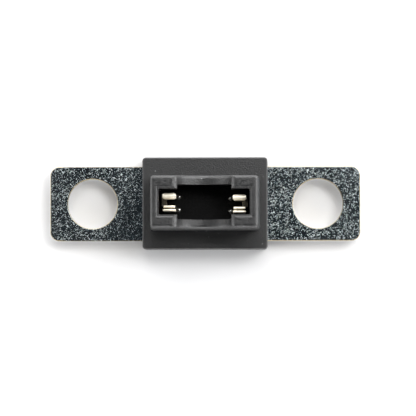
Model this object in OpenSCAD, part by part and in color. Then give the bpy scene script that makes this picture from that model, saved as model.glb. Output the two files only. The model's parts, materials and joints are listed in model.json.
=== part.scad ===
// Bolt-in battery monitor shunt.
// Two tinned lugs are welded to a resistance element and clamped in a moulded body.
// A two-pole spring socket in the tall collar takes the monitor's plug.
// +X runs along the bar, +Y to the rear, +Z up. The base rests on z = 0.

/* [Conductor bar] */
// Length over both lugs
bar_length = 41.3; // [40:0.1:46]
// Width of the bar
bar_width = 9.9; // [9.5:0.1:10.3]
// Thickness of the lugs
bar_thick = 1.2; // [1:0.1:1.5]
// Distance between the two bolt holes
bolt_pitch = 30; // [29.5:0.1:31]
// Diameter of each bolt hole
bolt_hole_d = 6.6; // [5.5:0.1:6.8]
// Corner radius at the lug ends
lug_corner_r = 1.2; // [0.6:0.1:2]
// Length of the resistance element
element_length = 5; // [4:0.1:5.5]
// Width of the resistance element
element_width = 9.1; // [8.6:0.1:9.4]
// Thickness of the resistance element
element_thick = 1; // [0.8:0.05:1]

/* [Moulded body] */
// Length of the body along the bar
body_length = 16.6; // [16.2:0.1:17]
// Depth of the body across the bar
body_depth = 12.2; // [12:0.1:12.6]
// Thickness of the floor below the bar
floor_thick = 0.9; // [0.8:0.1:1.2]
// Height of the flange's top face above the base
flange_top = 4; // [3.9:0.1:4.2]
// Corner radius of the body seen from above
body_corner_r = 0.45; // [0.45:0.05:0.5]
// Rounding of the body's outer edges
body_edge_r = 0.2; // [0.1:0.05:0.25]

/* [Collar and socket] */
// Height of the collar's top face above the base
collar_top = 10.9; // [10.6:0.1:11.5]
// Length of the collar at its top
collar_length = 14.1; // [14:0.1:14.6]
// Depth of the collar at its top
collar_depth = 6.85; // [6.7:0.05:7.1]
// How far each side of the collar leans out from top to foot
collar_draft = 0.2; // [0.1:0.01:0.4]
// Rounding of the collar's top edges and corners
collar_edge_r = 0.45; // [0.3:0.05:0.5]
// Length of the central well
well_length = 7.1; // [6.9:0.1:7.2]
// Depth of the central well across the bar
well_depth = 4.6; // [4.4:0.1:4.7]
// Length over both contact pockets
pocket_span = 11.9; // [11.6:0.1:12]
// Depth of the contact pockets across the bar
pocket_depth = 3.4; // [3.2:0.1:3.5]
// Rounding of the pocket mouths
mouth_r = 0.45; // [0.2:0.05:0.45]
// Radius of the finger notches
notch_r = 3.75; // [3.5:0.05:3.8]
// Depth of the finger notches below the collar's top
notch_drop = 2.9; // [2.5:0.1:3]
// Rounding of the shoulders where the notches start
shoulder_r = 0.9; // [0.4:0.05:1]

/* [Contacts] */
// Distance between the two contacts
contact_pitch = 9.2; // [9.1:0.05:9.3]
// How far each contact sits off the pair's centre line, left to the rear and right to the front
contact_stagger = 0.1; // [0:0.01:0.12]
// How far the pair of contacts sits to the front of the socket's centre line
contact_shift = 0.15; // [0:0.01:0.2]
// Height of the contact tips above the base
contact_top = 9.6; // [9.2:0.1:9.8]
// Width of the fixed prong along the bar
post_width = 1.75; // [1.7:0.05:2]
// Thickness of the fixed prong
post_thick = 0.78; // [0.7:0.02:0.9]
// Thickness of the spring strip
strip_thick = 0.3; // [0.25:0.01:0.3]
// Gap between the fixed prong and the spring leaf with no plug in
blade_gap = 0.86; // [0.8:0.01:0.9]
// Gap between the two legs of the spring
leg_gap = 0.18; // [0.17:0.01:0.2]

/* [Sense board] */
// Length of the board
board_length = 12.8; // [12.6:0.1:12.8]
// Depth of the board across the bar
board_depth = 5.6; // [5.4:0.1:5.6]
// Thickness of the board
board_thick = 0.8; // [0.6:0.1:1]
// Height of the board's top face, the floor of the well
board_top = 5.2; // [5.1:0.1:5.3]

/* [Hidden] */
$fn = 64;

LEFT = -1;
RIGHT = 1;
// Cutters run this far past the face they open
past = 1;
// Facets of the small hulled roundings
round_fn = 24;

// Heights in the stack
bar_bottom = floor_thick;
bar_top = bar_bottom + bar_thick;
bar_middle = bar_bottom + bar_thick / 2;
board_bottom = board_top - board_thick;
notch_centre = collar_top - notch_drop + notch_r;

// Lug and weld
weld_length = 0.3;
weld_inset = 0.02;
lug_inner = element_length / 2 + weld_length;
trim_notch = [0.5, 1.3];

// Locating posts that pass through the lugs and close the two housings
post_d = 1.3;
post_hole_d = 1.5;
post_socket_d = 1.36;
post_top = bar_top + 1.1;
post_socket_top = post_top + 0.1;
post_at = [body_length / 2 - 1.1, 3.6];

// Outline of the body and clearances of the mouldings
body_size = [body_length, body_depth];
channel_gap = 0.05;
board_gap = 0.1;
base_recess = [11.6, 7.6, 0.25];
ejector_d = 1.6;
ejector_sink = 0.12;

// Socket roundings, as steps of a quarter circle
mouth_steps = 5;
well_corner_r = 0.25;

// Contact layout, measured from the contact's own centre line
leaf_width = 1.5;
leg_width = 1.65;
leaf_y = -blade_gap / 2 - strip_thick / 2;
leg_y = leaf_y - leg_gap - strip_thick;
post_y = blade_gap / 2 + post_thick / 2;
root_bead_r = 0.2;
root_clear = 0.04;
root_z = board_top + 0.65;
web_width = 0.7;
web_out = 0.2;
web_top = board_top + 1;
leaf_clear = 0.05;
foot_reach = 0.25;
foot_width = 0.6;
foot_thick = 0.24;
foot_end = -post_width / 2 - foot_reach;
leg_foot_y = leg_y + (foot_width - strip_thick) / 2;
prong_solder_r = 0.36;
prong_solder_height = 0.16;
pin_solder_height = 0.3;
solder_gap = 0.01;

// Small parts below the board
board_size = [board_length, board_depth];
spacer_wall = [0.8, 0.75];
pin_r = 0.38;
pin_foot_r = 0.65;
pin_foot_height = 0.2;
pin_x = 3.6;
resistor_at = [2, 1.05];
resistor_size = [1.6, 0.8, 0.45];
capacitor_y = -0.95;
capacitor_size = [1.6, 0.8, 0.8];
cap_band = 0.3;
cap_skin = 0.03;

// ---- Shared shapes ----

// Rectangle with rounded corners, centred
module rounded_rect(size, r) {
    square([size[0] - 2 * r, size[1]], center = true);
    square([size[0], size[1] - 2 * r], center = true);
    for (x = [LEFT, RIGHT], y = [-1, 1])
        translate([x * (size[0] / 2 - r), y * (size[1] / 2 - r)])
            circle(r);
}

// Ring whose outside rolls over with radius e, used at the ends of a corner post
module rolled_ring(r, e) {
    rotate_extrude($fn = round_fn)
        translate([r - e, 0])
            intersection() {
                circle(e, $fn = round_fn);
                translate([0, -e])
                    square([e, 2 * e]);
            }
}

// Block with round vertical corners and rolled top and bottom edges
module soft_block(size, z0, z1, r, top_e, bottom_e) {
    hull()
        for (x = [LEFT, RIGHT], y = [-1, 1])
            translate([x * (size[0] / 2 - r), y * (size[1] / 2 - r), 0]) {
                translate([0, 0, z1 - top_e])
                    rolled_ring(r, top_e);
                translate([0, 0, z0 + bottom_e])
                    rolled_ring(r, bottom_e);
            }
}

// Profile drawn in Y (first) and Z (second), extruded along X about the centre
module along_x(width) {
    translate([-width / 2, 0, 0])
        rotate([90, 0, 90])
            linear_extrude(width)
                children();
}

// Places the children at a contact, with the outer end of the socket always at +X
module at_contact(side) {
    translate([side * contact_pitch / 2, -contact_shift - side * contact_stagger, 0])
        mirror([side == LEFT ? 1 : 0, 0, 0])
            children();
}

// ---- Conductor bar ----

module lug(side) {
    length = bar_length / 2 - lug_inner;
    middle = side * (lug_inner + length / 2);
    shoulder = length / 2;
    color("silver")
        translate([0, 0, bar_bottom])
            linear_extrude(bar_thick)
                difference() {
                    union() {
                        translate([middle, 0])
                            rounded_rect([length, bar_width], lug_corner_r);
                        // Square inner end, where the weld joins it to the element
                        translate([side * (lug_inner + shoulder / 2), 0])
                            square([shoulder, bar_width], center = true);
                    }
                    // The bolt hole and the two locating holes
                    translate([side * bolt_pitch / 2, 0])
                        circle(d = bolt_hole_d);
                    for (y = [-1, 1])
                        translate([side * post_at[0], y * post_at[1]])
                            circle(d = post_hole_d);
                }
}

module resistance_element() {
    color("tan")
        translate([0, 0, bar_middle - element_thick / 2])
            linear_extrude(element_thick)
                difference() {
                    square([element_length, element_width], center = true);
                    // Sawn calibration notch
                    translate([-trim_notch[0] / 2, -element_width / 2 - past])
                        square([trim_notch[0], trim_notch[1] + past]);
                }
}

// Weld bead, a little crowned above and below the element
module weld(side) {
    crown_r = bar_thick;
    color("rosybrown")
        translate([side * (lug_inner - weld_length / 2), 0, bar_middle])
            rotate([90, 0, 0])
                linear_extrude(element_width, center = true)
                    intersection() {
                        square([weld_length, bar_thick - 2 * weld_inset], center = true);
                        for (up = [-1, 1])
                            translate([0, up * (bar_thick / 2 - weld_inset - crown_r)])
                                circle(crown_r);
                    }
}

// ---- Housings ----

module locating_posts(d, z0, z1) {
    for (x = [LEFT, RIGHT], y = [-1, 1])
        translate([x * post_at[0], y * post_at[1], z0])
            cylinder(d = d, h = z1 - z0);
}

// Tray that the bar lies in
module lower_housing() {
    color([0.13, 0.13, 0.14]) {
        difference() {
            soft_block(body_size, 0, bar_top, body_corner_r, body_edge_r / 2, body_edge_r);
            // Channel for the bar
            translate([0, 0, bar_bottom + past])
                cube([body_length + 2 * past, bar_width + 2 * channel_gap, 2 * past], center = true);
            translate([-base_recess[0] / 2, -base_recess[1] / 2, -past])
                cube([base_recess[0], base_recess[1], base_recess[2] + past]);
            // Marks of the two ejector pins
            for (x = [LEFT, RIGHT])
                translate([x * base_recess[0] / 4, 0, base_recess[2] - past])
                    cylinder(d = ejector_d, h = ejector_sink + past);
        }
        locating_posts(post_d, bar_bottom - floor_thick / 2, post_top);
    }
}

// Steps of a rolled mouth, widening upwards to meet the top face
module rolled_mouth(size) {
    for (i = [0 : mouth_steps - 1]) {
        a0 = 90 * i / mouth_steps;
        a1 = 90 * (i + 1) / mouth_steps;
        out0 = 2 * mouth_r * (1 - cos(a0));
        out1 = 2 * mouth_r * (1 - cos(a1));
        low = [size[0] + out0, size[1] + out0];
        translate([0, 0, collar_top - mouth_r + mouth_r * sin(a0)])
            linear_extrude(
                mouth_r * (sin(a1) - sin(a0)),
                scale = [(size[0] + out1) / low[0], (size[1] + out1) / low[1]],
                slices = 1,
                $fn = 4
            )
                square(low, center = true);
    }
}

// Turned cutter for both finger notches, rolled where it leaves the collar's faces
module notch_cutter() {
    face_y = collar_depth / 2 + collar_draft * notch_drop / (collar_top - flange_top);
    r = collar_edge_r;
    translate([0, 0, notch_centre])
        rotate([90, 0, 0])
            for (flip = [0, 1])
                mirror([0, 0, flip])
                    rotate_extrude($fn = 96) {
                        square([notch_r, face_y + past]);
                        translate([notch_r, face_y - r])
                            difference() {
                                square([r, r + past]);
                                translate([r, 0])
                                    circle(r, $fn = 48);
                            }
                    }
}

// Shoulders that roll from the collar's top face into the notches, tangent to both
module notch_shoulders() {
    r = shoulder_r;
    rise = notch_centre - collar_top;
    reach = sqrt(pow(notch_r + r, 2) - pow(rise + r, 2));
    translate([0, 0, collar_top])
        rotate([90, 0, 0])
            linear_extrude(collar_depth + 2 * past, center = true)
                difference() {
                    polygon([
                        [-reach, -r], [0, rise], [reach, -r],
                        [reach, rise + past], [-reach, rise + past]
                    ]);
                    for (x = [LEFT, RIGHT])
                        translate([x * reach, -r])
                            circle(r);
                }
}

module socket_cutter() {
    depth = collar_top - board_top + past;
    translate([0, 0, board_top]) {
        linear_extrude(depth)
            rounded_rect([well_length, well_depth], well_corner_r);
        linear_extrude(depth)
            rounded_rect([pocket_span, pocket_depth], well_corner_r);
    }
    rolled_mouth([pocket_span, pocket_depth]);
    notch_cutter();
    notch_shoulders();
}

module collar_block() {
    r = collar_edge_r;
    top = [collar_length / 2 - r, collar_depth / 2 - r];
    foot = [top[0] + collar_draft, top[1] + collar_draft];
    hull()
        for (x = [LEFT, RIGHT], y = [-1, 1]) {
            translate([x * top[0], y * top[1], collar_top - r])
                rolled_ring(r, r);
            translate([x * foot[0], y * foot[1], flange_top - body_edge_r])
                cylinder(r = r, h = body_edge_r, $fn = round_fn);
        }
}

// Cover with the flange, the tall collar and the socket
module upper_housing() {
    color([0.2, 0.2, 0.21])
        difference() {
            union() {
                soft_block(body_size, bar_top, flange_top, body_corner_r, body_edge_r, body_edge_r / 2);
                collar_block();
            }
            socket_cutter();
            // Board bay, open downwards
            translate([0, 0, bar_top - past])
                linear_extrude(board_top - bar_top + past)
                    square([board_length + 2 * board_gap, board_depth + 2 * board_gap], center = true);
            locating_posts(post_socket_d, bar_top - past, post_socket_top);
        }
}

// Frame that holds the board up against the cover and off the hot element
module board_spacer() {
    color([0.3, 0.3, 0.32])
        translate([0, 0, bar_top])
            linear_extrude(board_bottom - bar_top)
                difference() {
                    square(board_size, center = true);
                    square(board_size - 2 * spacer_wall, center = true);
                }
}

// ---- Sense board and its parts ----

module sense_board() {
    color([0.05, 0.05, 0.06])
        translate([0, 0, board_bottom])
            linear_extrude(board_thick)
                square(board_size, center = true);
}

module sense_pin(side) {
    color("goldenrod")
        translate([side * pin_x, 0, bar_top]) {
            cylinder(r = pin_r, h = board_bottom - bar_top);
            cylinder(r = pin_foot_r, h = pin_foot_height);
        }
}

module pin_solder(side) {
    color("lightgray")
        translate([side * pin_x, 0, board_bottom - pin_solder_height])
            difference() {
                cylinder(r1 = pin_r + 0.08, r2 = pin_r + 0.4, h = pin_solder_height);
                translate([0, 0, -past])
                    cylinder(r = pin_r + solder_gap, h = pin_solder_height + 2 * past);
            }
}

// Chip part hanging below the board, with an end cap at each end
module chip(size, body_colour) {
    color(body_colour)
        translate([-size[0] / 2 + cap_band, -size[1] / 2 + cap_skin, board_bottom - size[2] + cap_skin])
            cube([size[0] - 2 * cap_band, size[1] - 2 * cap_skin, size[2] - cap_skin]);
    color("lightgray")
        for (x = [LEFT, RIGHT])
            translate([x * (size[0] - cap_band) / 2, 0, board_bottom - size[2] / 2])
                cube([cap_band, size[1], size[2]], center = true);
}

module series_resistor(side) {
    translate([side * resistor_at[0], resistor_at[1], 0])
        chip(resistor_size, [0.08, 0.08, 0.09]);
}

module filter_capacitor() {
    translate([0, capacitor_y, 0])
        chip(capacitor_size, [0.62, 0.48, 0.32]);
}

// ---- Contacts ----

// Solder foot that points into the well
module foot(y) {
    translate([foot_end, y - foot_width / 2, board_top])
        cube([foot_reach + strip_thick, foot_width, foot_thick]);
}

// Stiff rear prong, folded over at the top, with a low web at its outer end
module fixed_prong(side) {
    color("lightgoldenrodyellow")
        at_contact(side) {
            intersection() {
                translate([0, post_y, 0])
                    linear_extrude(contact_top)
                        rounded_rect([post_width, post_thick], post_thick / 2 - 0.08);
                along_x(post_width)
                    translate([post_y, 0]) {
                        translate([-post_thick / 2, board_top])
                            square([post_thick, contact_top - post_thick / 2 - board_top]);
                        translate([0, contact_top - post_thick / 2])
                            circle(post_thick / 2);
                    }
            }
            translate([post_width / 2 + web_out - web_width, leaf_clear - blade_gap / 2, board_top])
                cube([web_width, blade_gap - leaf_clear + post_thick / 2, web_top - board_top]);
            foot(post_y);
        }
}

module prong_solder(side) {
    bead_r = (pow(prong_solder_r, 2) + pow(prong_solder_height, 2)) / (2 * prong_solder_height);
    bead_sink = bead_r - prong_solder_height;
    slot_width = foot_width + 2 * solder_gap;
    color("whitesmoke")
        at_contact(side)
            for (y = [post_y, leg_foot_y])
                translate([foot_end, y, board_top])
                    difference() {
                        translate([0, 0, -bead_sink])
                            sphere(bead_r);
                        translate([0, 0, -bead_r])
                            cube(2 * bead_r, center = true);
                        translate([-solder_gap, -slot_width / 2, -past])
                            cube([2 * bead_r, slot_width, foot_thick + solder_gap + past]);
                    }
}

// Outer leg of the spring with the seat that its inner leaf is bent up from
module spring_base(side) {
    color("khaki")
        at_contact(side) {
            difference() {
                along_x(leg_width) {
                    translate([leg_y - strip_thick / 2, board_top])
                        square([strip_thick, contact_top - board_top - strip_thick / 2]);
                    translate([leg_y, contact_top - strip_thick / 2])
                        circle(strip_thick / 2);
                    translate([leg_y, board_top])
                        square([leaf_y - leg_y + strip_thick / 2, root_z - board_top]);
                }
                along_x(leg_width + 2 * past)
                    translate([leaf_y, root_z])
                        circle(root_bead_r + root_clear);
            }
            foot(leg_foot_y);
        }
}

// Inner leaf of the spring, which the plug's blade pushes to the front
module spring_leaf(side) {
    color("lemonchiffon")
        at_contact(side)
            along_x(leaf_width)
                translate([leaf_y, 0]) {
                    translate([0, root_z])
                        circle(root_bead_r);
                    translate([-strip_thick / 2, root_z])
                        square([strip_thick, contact_top - root_z - strip_thick / 2]);
                    translate([0, contact_top - strip_thick / 2])
                        circle(strip_thick / 2);
                }
}

lug(LEFT);  // left_lug
lug(RIGHT);  // right_lug
resistance_element();
weld(LEFT);  // left_weld
weld(RIGHT);  // right_weld
lower_housing();
upper_housing();
board_spacer();
sense_board();
sense_pin(LEFT);  // left_sense_pin
sense_pin(RIGHT);  // right_sense_pin
pin_solder(LEFT);  // left_pin_solder
pin_solder(RIGHT);  // right_pin_solder
series_resistor(LEFT);  // left_series_resistor
series_resistor(RIGHT);  // right_series_resistor
filter_capacitor();
fixed_prong(LEFT);  // left_fixed_prong
fixed_prong(RIGHT);  // right_fixed_prong
prong_solder(LEFT);  // left_prong_solder
prong_solder(RIGHT);  // right_prong_solder
spring_base(LEFT);  // left_spring_base
spring_base(RIGHT);  // right_spring_base
spring_leaf(LEFT);  // left_spring_leaf
spring_leaf(RIGHT);  // right_spring_leaf
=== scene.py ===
"""Looks of the bolt-in battery monitor shunt: materials, rounded edges, floor, light and camera."""
import json
import math

import bpy
from mathutils import Matrix, Vector


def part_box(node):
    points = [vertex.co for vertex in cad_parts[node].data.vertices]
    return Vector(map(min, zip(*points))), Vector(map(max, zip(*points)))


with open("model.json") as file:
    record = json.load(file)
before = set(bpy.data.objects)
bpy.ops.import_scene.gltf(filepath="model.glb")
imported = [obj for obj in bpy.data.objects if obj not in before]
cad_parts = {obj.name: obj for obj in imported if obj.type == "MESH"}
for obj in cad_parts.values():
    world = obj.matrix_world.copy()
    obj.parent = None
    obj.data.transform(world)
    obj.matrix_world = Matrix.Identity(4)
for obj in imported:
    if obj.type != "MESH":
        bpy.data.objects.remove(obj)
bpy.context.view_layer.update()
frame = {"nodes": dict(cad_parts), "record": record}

MM = 0.001

# ---- Camera, as the object is seen from almost straight above ----
FRAME_WIDTH = 55.4 * MM
CAMERA_DISTANCE = 400 * MM
SENSOR_WIDTH = 36.0
AIM_OFFSET = Vector((0.37, -0.57, 0)) * MM
CAMERA_LEAN_RIGHT = math.radians(0.9)
CAMERA_LEAN_FRONT = math.radians(2.0)
CAMERA_ROLL = math.radians(-0.1)

# ---- Light: name, where it shines from, height angle, distance, width, depth, power ----
LIGHTS = (
    ("rear_softbox", 93, 52, 600 * MM, 420 * MM, 340 * MM, 2.0),
    ("right_softbox", 33, 52, 600 * MM, 240 * MM, 240 * MM, 2.3),
    ("left_fill", 165, 50, 700 * MM, 250 * MM, 250 * MM, 0.3),
)
FLOOR_SIZE = 3.0
FLOOR_COLOUR = (0.68, 0.68, 0.683, 1)
SKY_ZENITH = (0.03, 0.033, 0.036, 1)
SKY_HORIZON = (6.2, 6.2, 6.25, 1)
SKY_BAND = (0.25, 0.6)
SKY_BRIGHT_SIDE = (0.7, 0.7, 0.0)
SKY_SIDE_SHARE = 0.35


# ---- Material building ----

# Tinned strip: pitted ground, crystals, and the bare copper where it was sheared
TIN_GROUND_DARK = (0.075, 0.11, 0.135, 1)
TIN_GROUND_LIGHT = (0.24, 0.3, 0.33, 1)
TIN_BRIGHT = (0.6, 0.635, 0.625, 1)
EDGE_METAL = (0.42, 0.35, 0.23, 1)
TIN_DOMAIN = 0.6 * MM
TIN_CRYSTAL = 0.12 * MM
TIN_PIT = 0.13 * MM

# Black moulding: its reflective skin gives the grey
PLASTIC_GREY = 0.0035
PLASTIC_SHINE = 0.7
DUST = (0.22, 0.22, 0.22, 1)

# Contacts: clean above, painted shade below where they reach down into the well, with an uneven border
CONTACT_METAL = (1.0, 0.94, 0.8, 1)
PAINTED_WELL_SHADE = (0.035, 0.03, 0.025, 1)
SHADE_BORDER_WANDER = 1.5 * MM
SHADE_HEIGHTS = (6.2 * MM, 9.4 * MM)

# Board, solder, alloy and weld
MASK_DARK = (0.001, 0.001, 0.001, 1)
MASK_LIGHT = (0.004, 0.004, 0.0045, 1)
SOLDER_DARK = (0.08, 0.08, 0.075, 1)
SOLDER_LIGHT = (0.55, 0.55, 0.53, 1)
ALLOY = (0.5, 0.41, 0.32, 1)
ALLOY_STRAW = (0.42, 0.27, 0.2, 1)
ALLOY_BLUE = (0.26, 0.24, 0.33, 1)
WELD_DARK = (0.33, 0.26, 0.24, 1)
WELD_LIGHT = (0.55, 0.45, 0.38, 1)
ALLOY_REACH = 2.5 * MM

# Chip parts: bright cap at each end
CAP_METAL = (0.6, 0.6, 0.58, 1)
CAP_BAND = 0.3 * MM
CHIP_HALF = 0.8 * MM

# Sockets of the colour mix node
COLOUR_A = 6
COLOUR_B = 7
MIXED = 2


def add_node(tree, kind, links=(), **settings):
    made = tree.nodes.new("ShaderNode" + kind)
    for key, value in settings.items():
        setattr(made, key, value)
    for socket, source in dict(links).items():
        if isinstance(source, bpy.types.NodeSocket):
            tree.links.new(source, made.inputs[socket])
        else:
            made.inputs[socket].default_value = source
    return made


class Paint:
    """A node material whose textures are measured in metres on the object itself."""

    def __init__(self, name, colour, metallic, roughness):
        self.material = bpy.data.materials.new(name)
        self.material.use_nodes = True
        self.tree = self.material.node_tree
        self.shader = self.tree.nodes["Principled BSDF"]
        self.shader.inputs["Base Color"].default_value = colour
        self.shader.inputs["Metallic"].default_value = metallic
        self.shader.inputs["Roughness"].default_value = roughness
        self.place = self.tree.nodes.new("ShaderNodeTexCoord").outputs["Object"]

    def node(self, kind, links=(), **settings):
        return add_node(self.tree, kind, links, **settings)

    def drawn_out(self, lengthen, turn=(0, 0, 0)):
        """Places for a texture that is turned, and this many times longer along each of its axes."""
        links = {"Vector": self.place, "Scale": lengthen, "Rotation": turn}
        return self.node("Mapping", links, vector_type="TEXTURE").outputs["Vector"]

    def noise(self, size, detail=2.0, rough=0.5, distortion=0.0, place=None):
        links = {
            "Vector": place or self.place, "Scale": 1 / size, "Detail": detail,
            "Roughness": rough, "Distortion": distortion,
        }
        return self.node("TexNoise", links).outputs["Fac"]

    def cells(self, size):
        return self.node("TexVoronoi", {"Vector": self.place, "Scale": 1 / size}).outputs["Color"]

    def ramp(self, value, *stops):
        made = self.node("ValToRGB", {"Fac": value})
        for at, grey in stops[1:-1]:
            made.color_ramp.elements.new(at)
        for element, (at, grey) in zip(made.color_ramp.elements, stops):
            element.position = at
            element.color = grey if isinstance(grey, tuple) else (grey, grey, grey, 1)
        return made.outputs["Color"]

    def maths(self, operation, a, b):
        return self.node("Math", {0: a, 1: b}, operation=operation).outputs["Value"]

    def mix(self, factor, a, b):
        return self.node("Mix", {"Factor": factor, COLOUR_A: a, COLOUR_B: b}, data_type="RGBA").outputs[MIXED]

    def bump(self, height, depth, strength):
        links = {"Height": height, "Distance": depth, "Strength": strength}
        return self.node("Bump", links).outputs["Normal"]

    def waves(self, direction, scale, distortion):
        links = {"Vector": self.place, "Scale": scale, "Distortion": distortion}
        return self.node("TexWave", links, bands_direction=direction).outputs["Fac"]

    def side_faces(self):
        """1 on faces that stand upright, 0 on faces that look up or down."""
        up = self.node("NewGeometry").outputs["Normal"]
        height = self.node("SeparateXYZ", {"Vector": up}).outputs["Z"]
        return self.ramp(self.maths("ABSOLUTE", height, 0), (0.8, 1.0), (0.97, 0.0))

    def set(self, socket, value):
        self.tree.links.new(value, self.shader.inputs[socket])


def tin_plate():
    """Dull tin over copper: dark pitted ground, bright crystals turned at random, and bare sheared edges."""
    p = Paint("tin_plate", TIN_GROUND_LIGHT, 1.0, 0.25)
    patches = p.noise(2.2 * MM, 3, 0.6)
    angle = p.maths("MULTIPLY", p.cells(TIN_DOMAIN), 4 * math.tau)
    turn = p.node("CombineXYZ", {"Z": angle}).outputs["Vector"]
    hairs = p.noise(TIN_CRYSTAL, 3, 0.7, 0.6, p.drawn_out((1, 1.8, 1), turn))
    grit = p.noise(TIN_PIT, 2, 0.7)
    density = p.ramp(patches, (0.35, 0.75), (0.65, 1.0))
    lit = p.maths("MULTIPLY", p.ramp(hairs, (0.56, 0.0), (0.63, 1.0)), density)
    ground = p.ramp(grit, (0.38, TIN_GROUND_DARK), (0.64, TIN_GROUND_LIGHT))
    tin = p.mix(lit, ground, TIN_BRIGHT)
    p.set("Base Color", p.mix(p.side_faces(), tin, EDGE_METAL))
    dulled = p.ramp(patches, (0.3, 0.17), (0.7, 0.22))
    p.set("Roughness", p.maths("ADD", dulled, p.maths("MULTIPLY", lit, 0.11)))
    p.set("Normal", p.bump(p.maths("ADD", grit, lit), 0.01 * MM, 0.6))
    return p.material


def moulding(name, grey, grain):
    """Black moulded plastic with a fine eroded texture, faint flow marks and a few pale dust specks."""
    p = Paint(name, (grey, grey, grey * 1.04, 1), 0.0, 0.6)
    p.shader.inputs["Specular IOR Level"].default_value = PLASTIC_SHINE
    fine = p.noise(grain, 2, 0.6)
    broad = p.noise(2.4 * MM, 3, 0.5)
    dark = (grey * 0.8, grey * 0.8, grey * 0.86, 1)
    light = (grey * 1.25, grey * 1.25, grey * 1.27, 1)
    toned = p.mix(p.ramp(fine, (0.3, 0.0), (0.7, 1.0)), dark, light)
    flowed = p.mix(p.ramp(broad, (0.35, 0.0), (0.7, 0.35)), toned, light)
    specks = p.ramp(p.noise(0.24 * MM, 1, 0.3), (0.8, 0.0), (0.82, 1.0))
    p.set("Base Color", p.mix(specks, flowed, DUST))
    p.set("Roughness", p.ramp(fine, (0.42, 0.34), (0.58, 0.54)))
    p.set("Normal", p.bump(fine, 0.045 * MM, 1.0))
    return p.material


def plating(name, colour, rough, shade_span=None):
    """Plated strip with a drawn grain and dull patches. Below the first of the two heights given it is all
    painted shade, as deep in the well, and above the second it is clean."""
    p = Paint(name, colour, 1.0, rough)
    lines = p.noise(0.05 * MM, 2, 0.5, 0, p.drawn_out((1, 1, 12)))
    patches = p.noise(0.5 * MM, 2, 0.5)
    dull = tuple(c * 0.8 for c in colour[:3]) + (1,)
    finish = p.mix(p.ramp(patches, (0.35, 0.6), (0.6, 0.0)), colour, dull)
    # Painted shade: darker towards the board, standing in for the shade deep in the well
    if shade_span:
        height = p.node("SeparateXYZ", {"Vector": p.place}).outputs["Z"]
        uneven = p.maths("ADD", height, p.maths("MULTIPLY", p.noise(0.3 * MM, 3, 0.6), SHADE_BORDER_WANDER))
        links = {"Value": uneven, "From Min": shade_span[0], "From Max": shade_span[1]}
        finish = p.mix(p.node("MapRange", links).outputs["Result"], PAINTED_WELL_SHADE, finish)
    p.set("Base Color", finish)
    p.set("Roughness", p.ramp(lines, (0.3, rough * 0.8), (0.7, rough * 1.4)))
    p.set("Normal", p.bump(lines, 0.002 * MM, 0.5))
    return p.material


def solder():
    p = Paint("soft_solder", (0.66, 0.66, 0.63, 1), 1.0, 0.3)
    frost = p.noise(0.12 * MM, 3, 0.6)
    p.set("Base Color", p.ramp(frost, (0.4, SOLDER_DARK), (0.6, SOLDER_LIGHT)))
    p.set("Roughness", p.ramp(frost, (0.3, 0.1), (0.7, 0.22)))
    p.set("Normal", p.bump(frost, 0.01 * MM, 0.6))
    return p.material


def board():
    """Black solder mask with the weave of the laminate showing through."""
    p = Paint("solder_mask", (0.002, 0.002, 0.002, 1), 0.0, 0.5)
    p.shader.inputs["Specular IOR Level"].default_value = 0.1
    weave = p.maths("MULTIPLY", p.waves("X", 700.0, 1.0), p.waves("Y", 700.0, 1.0))
    grit = p.noise(0.12 * MM, 2, 0.6)
    p.set("Base Color", p.ramp(grit, (0.45, MASK_DARK), (0.75, MASK_LIGHT)))
    p.set("Roughness", p.ramp(grit, (0.3, 0.36), (0.7, 0.6)))
    p.set("Normal", p.bump(p.maths("ADD", weave, grit), 0.012 * MM, 0.6))
    return p.material


def rolled_alloy():
    """Bare resistance alloy, rolled along the bar and tinted by the weld's heat near its ends."""
    p = Paint("rolled_alloy", (0.5, 0.4, 0.31, 1), 1.0, 0.35)
    lines = p.noise(0.06 * MM, 2, 0.5, 0, p.drawn_out((20, 1, 1)))
    along = p.node("SeparateXYZ", {"Vector": p.place}).outputs["X"]
    reach = p.maths("MULTIPLY", p.maths("ABSOLUTE", along, 0), 1 / ALLOY_REACH)
    tint = p.ramp(reach, (0.6, ALLOY), (0.85, ALLOY_STRAW), (1.0, ALLOY_BLUE))
    p.set("Base Color", tint)
    p.set("Roughness", p.ramp(lines, (0.3, 0.28), (0.7, 0.46)))
    p.set("Normal", p.bump(lines, 0.003 * MM, 0.6))
    return p.material


def weld_metal():
    p = Paint("weld_metal", (0.42, 0.33, 0.28, 1), 1.0, 0.4)
    ripples = p.waves("Y", 1500.0, 2.0)
    p.set("Base Color", p.ramp(ripples, (0.2, WELD_DARK), (0.8, WELD_LIGHT)))
    p.set("Roughness", p.ramp(p.noise(0.2 * MM), (0.3, 0.3), (0.7, 0.5)))
    p.set("Normal", p.bump(ripples, 0.012 * MM, 0.8))
    return p.material


def chip(name, body, middle):
    """Ceramic chip part with a bright cap at each end."""
    p = Paint(name, body, 0.0, 0.3)
    along = p.node("SeparateXYZ", {"Vector": p.place}).outputs["X"]
    reach = p.maths("ABSOLUTE", p.maths("SUBTRACT", along, middle), 0)
    capped = p.maths("GREATER_THAN", reach, CHIP_HALF - CAP_BAND)
    grit = p.noise(0.1 * MM, 2)
    toned = p.mix(grit, body, tuple(c * 1.4 for c in body[:3]) + (1,))
    p.set("Base Color", p.mix(capped, toned, CAP_METAL))
    p.set("Metallic", capped)
    p.set("Roughness", p.ramp(grit, (0.3, 0.25), (0.7, 0.42)))
    return p.material


# ---- CAD nodes: soft edges and their materials ----

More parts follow.
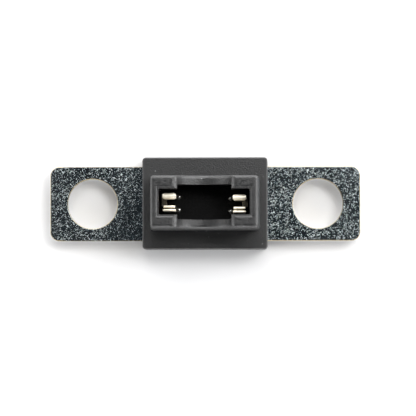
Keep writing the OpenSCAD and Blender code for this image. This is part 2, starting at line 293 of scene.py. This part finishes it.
def soften(node, width):
    """Rounds a node's sharp edges a little, so that they catch the light as real edges do."""
    piece = frame["nodes"][node]
    weld = piece.modifiers.new("join", "WELD")
    weld.merge_threshold = 0.001 * MM
    flat = piece.modifiers.new("flats", "DECIMATE")
    flat.decimate_type = "DISSOLVE"
    flat.angle_limit = math.radians(1)
    bevel = piece.modifiers.new("edges", "BEVEL")
    bevel.width = width
    bevel.segments = 3
    bevel.limit_method = "ANGLE"
    bevel.angle_limit = math.radians(40)
    bevel.use_clamp_overlap = False
    level = piece.modifiers.new("level", "WEIGHTED_NORMAL")
    level.weight = 100
    level.keep_sharp = True


def smooth(node):
    mesh = frame["nodes"][node].data
    mesh.shade_smooth()
    mesh.set_sharp_from_angle(angle=math.radians(35))


def dress(node, material):
    piece = frame["nodes"][node]
    piece.data.materials.clear()
    piece.data.materials.append(material)


def middle_x(node):
    low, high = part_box(node)
    return (low.x + high.x) / 2


MATERIALS = {
    "tinned_copper": tin_plate(),
    "manganin": rolled_alloy(),
    "weld_metal": weld_metal(),
    "black_moulding": moulding("black_moulding", PLASTIC_GREY, 0.2 * MM),
    "spacer_plastic": moulding("spacer_plastic", 0.09, 0.15 * MM),
    "board_laminate": board(),
    "pin_brass": plating("pin_brass", (0.75, 0.58, 0.28, 1), 0.3),
    "solder": solder(),
    "contact_plating": plating("contact_plating", CONTACT_METAL, 0.56, SHADE_HEIGHTS),
}
CHIP_COLOURS = {"chip_ceramic": (0.03, 0.03, 0.035, 1), "capacitor_ceramic": (0.3, 0.2, 0.12, 1)}
EDGE_WIDTHS = {
    "left_lug": 0.13 * MM, "right_lug": 0.13 * MM, "resistance_element": 0.05 * MM,
    "board_spacer": 0.08 * MM, "sense_board": 0.04 * MM,
    "left_spring_base": 0.05 * MM, "right_spring_base": 0.05 * MM,
    "left_spring_leaf": 0.05 * MM, "right_spring_leaf": 0.05 * MM,
    "left_series_resistor": 0.03 * MM, "right_series_resistor": 0.03 * MM,
    "filter_capacitor": 0.04 * MM,
}

for part in frame["record"]["subparts"]:
    node, slot = part["node"], part["material_slot"]
    if slot in CHIP_COLOURS:
        dress(node, chip(node + "_finish", CHIP_COLOURS[slot], middle_x(node)))
    else:
        dress(node, MATERIALS[slot])
    smooth(node)
    if node in EDGE_WIDTHS:
        soften(node, EDGE_WIDTHS[node])


# ---- Floor, light and camera ----

def make_floor():
    mesh = bpy.data.meshes.new("floor")
    half = FLOOR_SIZE / 2
    corners = [(-half, -half, 0), (half, -half, 0), (half, half, 0), (-half, half, 0)]
    mesh.from_pydata(corners, [], [(0, 1, 2, 3)])
    floor = bpy.data.objects.new("floor", mesh)
    bpy.context.scene.collection.objects.link(floor)
    paper = Paint("pale_floor", FLOOR_COLOUR, 0.0, 0.85)
    fibres = paper.noise(0.6 * MM, 3, 0.6)
    shade = tuple(c * 0.985 for c in FLOOR_COLOUR[:3]) + (1,)
    paper.set("Base Color", paper.mix(fibres, FLOOR_COLOUR, shade))
    mesh.materials.append(paper.material)


def make_sky():
    """A pale band of studio wall, brighter behind and to the right, under a dark ceiling."""
    world = bpy.data.worlds.new("studio")
    world.use_nodes = True
    tree = world.node_tree
    place = add_node(tree, "TexCoord").outputs["Generated"]
    height = add_node(tree, "SeparateXYZ", {"Vector": place}).outputs["Z"]
    ceiling = add_node(tree, "MapRange", {"Value": height, "From Min": SKY_BAND[0], "From Max": SKY_BAND[1]})
    toward = add_node(tree, "VectorMath", {0: place, 1: SKY_BRIGHT_SIDE}, operation="DOT_PRODUCT")
    side = add_node(tree, "MapRange", {
        "Value": toward.outputs["Value"], "From Min": -1.0,
        "To Min": 1 - SKY_SIDE_SHARE, "To Max": 1 + SKY_SIDE_SHARE,
    })
    links = {"Factor": 1.0, COLOUR_A: SKY_HORIZON, COLOUR_B: side.outputs["Result"]}
    wall = add_node(tree, "Mix", links, data_type="RGBA", blend_type="MULTIPLY").outputs[MIXED]
    links = {"Factor": ceiling.outputs["Result"], COLOUR_A: wall, COLOUR_B: SKY_ZENITH}
    sky = add_node(tree, "Mix", links, data_type="RGBA").outputs[MIXED]
    tree.links.new(sky, tree.nodes["Background"].inputs["Color"])
    bpy.context.scene.world = world


def aim(thing, target, roll=0.0):
    """Turns a lamp or camera to face the target, with the object's rear side upwards in its view."""
    away = (thing.location - target).normalized()
    right = Vector((0, 1, 0)).cross(away).normalized()
    if right.length < 0.5:
        right = Vector((1, 0, 0))
    over = away.cross(right)
    turn = Matrix((right, over, away)).transposed() @ Matrix.Rotation(roll, 3, "Z")
    thing.rotation_euler = turn.to_euler()


def make_light(name, azimuth, elevation, distance, width, depth, power):
    light = bpy.data.lights.new(name, "AREA")
    light.shape = "RECTANGLE"
    light.size = width
    light.size_y = depth
    light.energy = power
    lamp = bpy.data.objects.new(name, light)
    a, e = math.radians(azimuth), math.radians(elevation)
    lamp.location = Vector((math.cos(a) * math.cos(e), math.sin(a) * math.cos(e), math.sin(e))) * distance
    bpy.context.scene.collection.objects.link(lamp)
    aim(lamp, Vector((0, 0, 0)))


def make_camera():
    camera = bpy.data.objects.new("camera", bpy.data.cameras.new("camera"))
    bar_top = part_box("left_lug")[1].z
    target = AIM_OFFSET + Vector((0, 0, bar_top))
    lean = Vector((math.tan(CAMERA_LEAN_RIGHT), -math.tan(CAMERA_LEAN_FRONT), 1)).normalized()
    camera.location = target + lean * CAMERA_DISTANCE
    camera.data.sensor_width = SENSOR_WIDTH
    camera.data.lens = SENSOR_WIDTH * CAMERA_DISTANCE / FRAME_WIDTH
    camera.data.clip_start = 0.01
    bpy.context.scene.collection.objects.link(camera)
    aim(camera, target, CAMERA_ROLL)
    bpy.context.scene.camera = camera


make_floor()
make_sky()
for settings in LIGHTS:
    make_light(*settings)
make_camera()
bpy.context.scene.view_settings.view_transform = "Standard"
